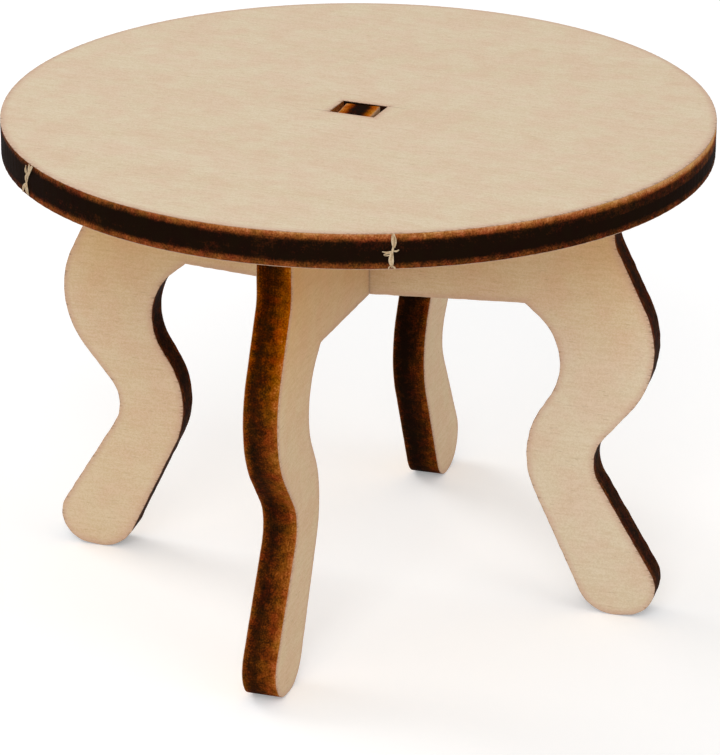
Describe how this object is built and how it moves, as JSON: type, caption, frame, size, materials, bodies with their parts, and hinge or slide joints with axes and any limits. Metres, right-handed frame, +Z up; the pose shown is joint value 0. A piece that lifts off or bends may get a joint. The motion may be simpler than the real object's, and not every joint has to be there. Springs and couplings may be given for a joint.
{
  "type": "miniature dining table",
  "caption": "Round dolls house dining table in laser-cut plywood: a mortised disc top on crossed, slotted leg frames with wavy legs.",
  "frame": {"origin": "middle of the table at floor level, under the mortise", "axes": "+Z up, +X along the lower leg frame to its right leg, +Y along the upper leg frame to its back leg"},
  "size_m": [0.06, 0.06, 0.043],
  "materials": {
    "face_veneer": "bare pale birch veneer, matt, scorched amber at the cut edges",
    "core_ply": "laser-scorched core edge, dark brown to near black, matt"
  },
  "bodies": {
    "lower_leg_frame": {"lower_frame_front_veneer": "face_veneer", "lower_frame_core": "core_ply", "lower_frame_back_veneer": "face_veneer"},
    "upper_leg_frame": {"upper_frame_left_veneer": "face_veneer", "upper_frame_core": "core_ply", "upper_frame_right_veneer": "face_veneer"},
    "tabletop": {"tabletop_top_veneer": "face_veneer", "tabletop_core": "core_ply", "tabletop_bottom_veneer": "face_veneer"}
  },
  "joints": [
    {"name": "frame_lift", "type": "slide", "parent": "lower_leg_frame", "child": "upper_leg_frame", "axis": [0, 0, 1], "range_m": [0, 0.0135]},
    {"name": "top_lift", "type": "slide", "parent": "upper_leg_frame", "child": "tabletop", "axis": [0, 0, 1], "range_m": [0, 0.005]}
  ]
}
